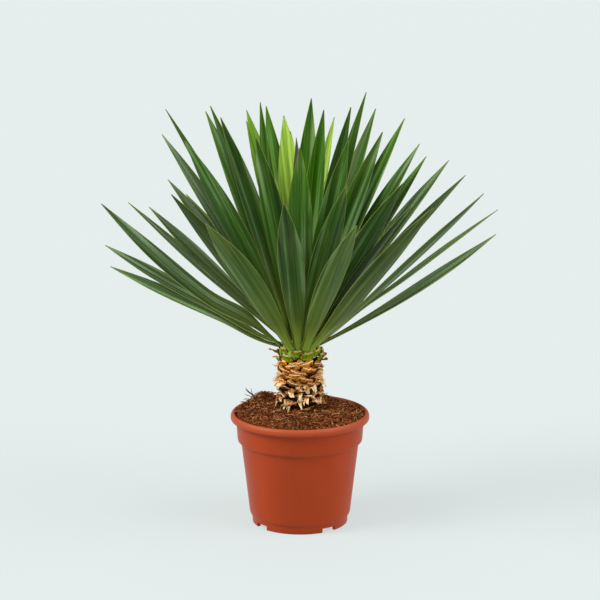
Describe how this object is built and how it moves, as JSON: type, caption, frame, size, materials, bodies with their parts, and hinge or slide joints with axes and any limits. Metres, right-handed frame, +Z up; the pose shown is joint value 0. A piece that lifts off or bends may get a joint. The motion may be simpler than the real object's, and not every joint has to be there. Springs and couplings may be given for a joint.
{
  "type": "potted yucca",
  "caption": "Young yucca: a full rosette of stiff, pointed sword leaves on a short scaly trunk, standing in soil in a round plastic nursery pot with a wide collar.",
  "frame": {"origin": "on the floor, under the middle of the pot", "axes": "+Z up along the trunk; the picture looks along +Y, so +X is to its right"},
  "size_m": [0.608, 0.5389, 0.6501],
  "materials": {
    "pot_plastic": "thin blow-moulded terracotta-coloured plastic, satin, with a faint haze of scuffs",
    "coir_soil": "dry coir fibre and peat, dull",
    "dry_leaf_bases": "dry papery leaf bases, straw to golden brown, dull",
    "green_leaf_bases": "fresh cut leaf bases, smooth and faintly waxy",
    "young_leaf": "young leaf, lime green, satin",
    "leaf": "stiff mature leaf, satin with a faint waxy bloom"
  },
  "bodies": {
    "root": {"pot": "pot_plastic", "soil": "coir_soil", "trunk": "dry_leaf_bases", "crown": "green_leaf_bases", "heart": "young_leaf", "leaf_01": "leaf", "leaf_02": "leaf", "leaf_03": "leaf", "leaf_04": "leaf", "leaf_05": "leaf", "leaf_06": "leaf", "leaf_07": "leaf", "leaf_08": "leaf", "leaf_09": "leaf", "leaf_10": "leaf", "leaf_11": "leaf", "leaf_12": "leaf", "leaf_13": "leaf", "leaf_14": "leaf", "leaf_15": "leaf", "leaf_16": "leaf", "leaf_17": "leaf", "leaf_18": "leaf", "leaf_19": "leaf", "leaf_20": "leaf", "leaf_21": "leaf", "leaf_22": "leaf", "leaf_23": "leaf", "leaf_24": "leaf", "leaf_25": "leaf", "leaf_26": "leaf", "leaf_27": "leaf", "leaf_28": "leaf", "leaf_29": "leaf", "leaf_30": "leaf", "leaf_31": "leaf", "leaf_32": "leaf", "leaf_33": "leaf", "leaf_34": "leaf", "leaf_35": "leaf", "leaf_36": "leaf", "leaf_37": "leaf", "leaf_38": "leaf", "leaf_39": "leaf", "leaf_40": "leaf", "leaf_41": "leaf", "leaf_42": "leaf", "leaf_43": "leaf", "leaf_44": "leaf", "leaf_45": "leaf", "leaf_46": "leaf", "leaf_47": "leaf", "leaf_48": "leaf", "leaf_49": "leaf", "leaf_50": "leaf", "leaf_51": "leaf", "leaf_52": "leaf"}
  },
  "joints": []
}
